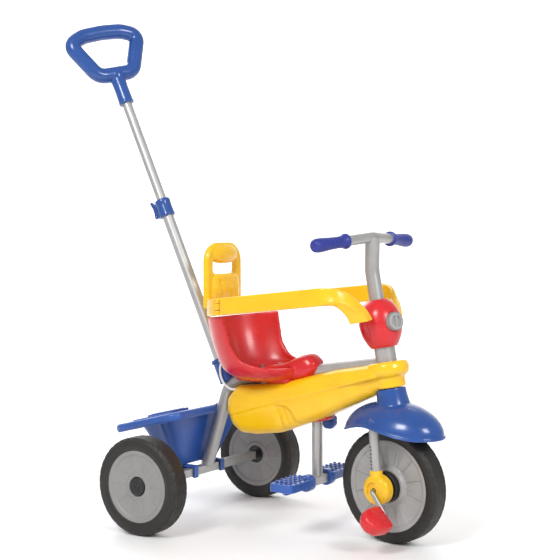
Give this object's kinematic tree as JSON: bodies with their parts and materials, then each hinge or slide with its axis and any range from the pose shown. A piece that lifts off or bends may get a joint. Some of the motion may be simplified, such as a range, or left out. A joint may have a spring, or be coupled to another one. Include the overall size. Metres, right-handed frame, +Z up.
{
  "type": "children's tricycle",
  "caption": "Child's pedal tricycle with safety ring, bucket seat, foot rests, rear bucket and telescopic push pole",
  "frame": {"origin": "on the floor, under the middle of the footprint", "axes": "+X forward, towards the front wheel; +Y to the rider's left; +Z up"},
  "size_m": [0.9011, 0.476, 1.088],
  "materials": {
    "painted_steel": "gloss silver paint",
    "dark_steel": "zinc plated",
    "chrome_pole": "bright satin",
    "yellow": "gloss",
    "red": "satin gloss",
    "blue": "satin gloss",
    "grey_plastic": "satin",
    "black_plastic": "matt",
    "tyre_plastic": "matt moulded",
    "white_plastic": "satin"
  },
  "bodies": {
    "frame": {"frame_tube": "painted_steel", "head_tube": "painted_steel", "rear_axle_beam": "painted_steel", "rear_axle": "dark_steel", "axle_spacers": "black_plastic", "axle_nuts": "dark_steel", "head_bushes": "black_plastic", "fairing_left": "yellow", "fairing_right": "yellow", "footrest_post": "painted_steel", "footrest_bar": "painted_steel", "footrest_sleeve": "red", "footrest_knob": "blue", "bucket": "blue", "bucket_ribs": "blue", "bucket_clips": "blue", "seat": "red", "seat_bolts": "dark_steel", "backrest": "yellow", "arm_pins": "dark_steel", "pole_lower": "chrome_pole", "pole_socket": "blue", "socket_clip": "white_plastic", "clamp_collar": "blue", "clamp_pin": "dark_steel"},
    "clamp_lever": {"clamp_lever": "blue"},
    "pole": {"pole_upper": "chrome_pole"},
    "handle": {"handle_front": "blue", "handle_rear": "blue"},
    "arm_left": {"arm_left": "yellow"},
    "arm_right": {"arm_right": "yellow"},
    "footpad_left": {"footpad_left": "blue"},
    "footpad_right": {"footpad_right": "blue"},
    "rear_wheel_left": {"rear_tyre_left": "tyre_plastic", "rear_discs_left": "grey_plastic", "rear_hub_left": "black_plastic", "rear_cap_left": "black_plastic"},
    "rear_wheel_right": {"rear_tyre_right": "tyre_plastic", "rear_discs_right": "grey_plastic", "rear_hub_right": "black_plastic", "rear_cap_right": "black_plastic"},
    "steering": {"steerer": "dark_steel", "fork_crown": "painted_steel", "fork_blades": "painted_steel", "stem": "painted_steel", "handlebar": "painted_steel", "grips": "blue", "ball_front": "red", "ball_rear": "red", "knob_base": "black_plastic", "mudguard": "blue", "hub_cover_left": "yellow", "hub_cover_right": "yellow"},
    "lock_knob": {"lock_knob": "grey_plastic"},
    "front_wheel": {"front_tyre": "tyre_plastic", "front_discs": "grey_plastic", "front_hub": "black_plastic", "crank": "dark_steel"},
    "pedal_left": {"pedal_left": "red"},
    "pedal_right": {"pedal_right": "red"}
  },
  "joints": [
    {"name": "steering", "type": "hinge", "parent": "frame", "child": "steering", "pos_m": [0.316, 0, 0.381], "axis": [-0.1822, 0, 0.9833], "range_deg": [-31.5, 48.5]},
    {"name": "lock_knob_turn", "type": "hinge", "parent": "steering", "child": "lock_knob", "pos_m": [0.34774, -0.01657, 0.44052], "axis": [0.9148, -0.3665, 0.1696], "range_deg": [0, 90]},
    {"name": "front_wheel_spin", "type": "hinge", "parent": "steering", "child": "front_wheel", "pos_m": [0.33335, 0.00472, 0.11406], "axis": [0.1453, 0.989, 0.0269], "continuous": true},
    {"name": "pedal_left_spin", "type": "hinge", "parent": "front_wheel", "child": "pedal_left", "pos_m": [0.31471, 0.11734, 0.1634], "axis": [0.1453, 0.989, 0.0269], "continuous": true},
    {"name": "pedal_right_spin", "type": "hinge", "parent": "front_wheel", "child": "pedal_right", "pos_m": [0.35198, -0.1079, 0.06473], "axis": [0.1453, 0.989, 0.0269], "continuous": true},
    {"name": "rear_wheel_left_spin", "type": "hinge", "parent": "frame", "child": "rear_wheel_left", "pos_m": [-0.124, 0.2145, 0.1], "axis": [0, 1, 0], "continuous": true},
    {"name": "rear_wheel_right_spin", "type": "hinge", "parent": "frame", "child": "rear_wheel_right", "pos_m": [-0.124, -0.2145, 0.1], "axis": [0, 1, 0], "continuous": true},
    {"name": "pole_extend", "type": "slide", "parent": "frame", "child": "pole", "axis": [-0.4139, 0, 0.9103], "range_m": [-0.18, 0.03]},
    {"name": "handle_turn", "type": "hinge", "parent": "pole", "child": "handle", "pos_m": [-0.33831, 0, 0.90052], "axis": [-0.4139, 0, 0.9103], "range_deg": [-60, 120]},
    {"name": "clamp_lever_open", "type": "hinge", "parent": "frame", "child": "clamp_lever", "pos_m": [-0.24923, 0, 0.64662], "axis": [0, -1, 0], "range_deg": [0, 110]},
    {"name": "arm_left_open", "type": "hinge", "parent": "frame", "child": "arm_left", "pos_m": [-0.006, 0.11367, 0.45], "axis": [0, 0, 1], "range_deg": [0, 95]},
    {"name": "arm_right_open", "type": "hinge", "parent": "frame", "child": "arm_right", "pos_m": [-0.006, -0.11367, 0.45], "axis": [0, 0, 1], "range_deg": [-95, 0]},
    {"name": "footpad_left_fold", "type": "hinge", "parent": "frame", "child": "footpad_left", "pos_m": [0.161, 0.08, 0.106], "axis": [0, 1, 0], "range_deg": [0, 85]},
    {"name": "footpad_right_fold", "type": "hinge", "parent": "frame", "child": "footpad_right", "pos_m": [0.161, -0.08, 0.106], "axis": [0, 1, 0], "range_deg": [0, 85]}
  ]
}
